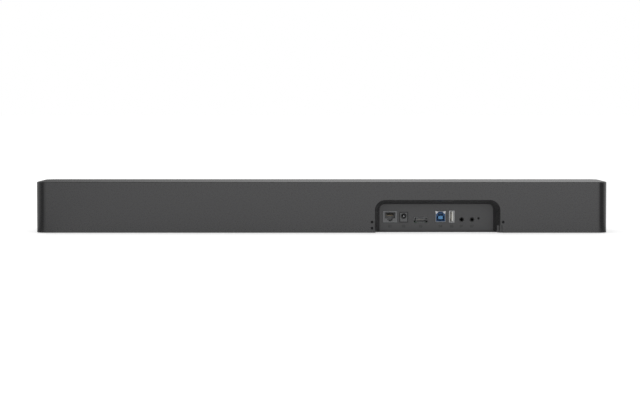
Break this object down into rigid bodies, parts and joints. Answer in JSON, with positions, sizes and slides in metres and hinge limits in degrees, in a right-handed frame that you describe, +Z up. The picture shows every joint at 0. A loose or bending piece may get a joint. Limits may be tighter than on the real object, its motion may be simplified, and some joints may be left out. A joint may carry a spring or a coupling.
{
  "type": "conference camera",
  "caption": "Long low bar with a shuttered camera and speakers behind slotted grilles in front, and a sloping connector bay in its rear face.",
  "frame": {"origin": "on the table, under the middle of the bar", "axes": "+X along the bar to the right as seen from the front, +Y from the front to the rear, +Z up"},
  "size_m": [0.65, 0.095, 0.0584],
  "materials": {
    "casing_plastic": "satin",
    "cover_plastic": "matt",
    "grille_paint": "matt",
    "bezel_plastic": "gloss",
    "window_glass": "gloss",
    "lens_glass": "gloss",
    "clear_plastic": "satin",
    "foot_rubber": "matt",
    "speaker_rubber": "matt",
    "bush_brass": "satin",
    "black_screws": "satin",
    "plain_screws": "satin",
    "barrel_metal": "matt, black anodised",
    "inner_plastic": "matt",
    "knob_plastic": "satin",
    "board_green": "satin",
    "bracket_metal": "satin",
    "ribbon_film": "satin",
    "basket_steel": "satin",
    "magnet_steel": "satin",
    "cone_plastic": "matt",
    "coil_wire": "satin",
    "port_steel": "satin",
    "video_steel": "satin",
    "port_plastic": "matt",
    "blue_plastic": "satin",
    "white_plastic": "satin"
  },
  "bodies": {
    "casing": {"rear_housing": "casing_plastic", "bottom_cover": "cover_plastic", "port_panel": "cover_plastic", "front_frame": "cover_plastic", "left_grille": "grille_paint", "right_grille": "grille_paint", "camera_bezel": "bezel_plastic", "camera_window": "window_glass", "light_pipe": "clear_plastic", "left_foot": "foot_rubber", "right_foot": "foot_rubber", "tripod_insert": "bush_brass", "bracket_inserts": "bush_brass", "cover_screws": "black_screws", "rear_screws": "black_screws", "board_screws": "plain_screws", "front_screws": "plain_screws", "lens_barrel": "barrel_metal", "front_lens": "lens_glass", "lens_holder": "inner_plastic", "sensor_board": "board_green", "camera_bracket": "bracket_metal", "camera_ribbon": "ribbon_film", "status_board": "board_green", "left_speaker_box": "inner_plastic", "right_speaker_box": "inner_plastic", "left_speaker_gasket": "speaker_rubber", "right_speaker_gasket": "speaker_rubber", "left_speaker_basket": "basket_steel", "right_speaker_basket": "basket_steel", "left_speaker_magnet": "magnet_steel", "right_speaker_magnet": "magnet_steel", "left_speaker_surround": "speaker_rubber", "right_speaker_surround": "speaker_rubber", "left_mic_board": "board_green", "right_mic_board": "board_green", "main_board": "board_green", "heat_sink": "bracket_metal", "antenna": "board_green", "network_shell": "port_steel", "network_insert": "port_plastic", "power_jack": "port_plastic", "power_pin": "port_steel", "video_shell": "video_steel", "video_tongue": "port_plastic", "usb_b_shell": "port_steel", "usb_b_insert": "blue_plastic", "usb_a_shell": "port_steel", "usb_a_tongue": "white_plastic", "line_in_jack": "port_plastic", "line_out_jack": "port_plastic", "reset_switch": "inner_plastic"},
    "shutter": {"shutter_blade": "inner_plastic", "shutter_knob": "knob_plastic"},
    "reset_key": {"reset_button": "white_plastic"},
    "left_cone": {"left_speaker_cone": "cone_plastic", "left_voice_coil": "coil_wire"},
    "right_cone": {"right_speaker_cone": "cone_plastic", "right_voice_coil": "coil_wire"}
  },
  "joints": [
    {"name": "shutter_slide", "type": "slide", "parent": "casing", "child": "shutter", "axis": [1, 0, 0], "range_m": [0, 0.028]},
    {"name": "reset_press", "type": "slide", "parent": "casing", "child": "reset_key", "axis": [0, -1, 0], "range_m": [0, 0.0005], "stiffness_N_per_m": 2000},
    {"name": "left_cone_slide", "type": "slide", "parent": "casing", "child": "left_cone", "axis": [0, -1, 0], "range_m": [-0.0015, 0.0015], "stiffness_N_per_m": 1500},
    {"name": "right_cone_slide", "type": "slide", "parent": "casing", "child": "right_cone", "axis": [0, -1, 0], "range_m": [-0.0015, 0.0015], "stiffness_N_per_m": 1500}
  ]
}
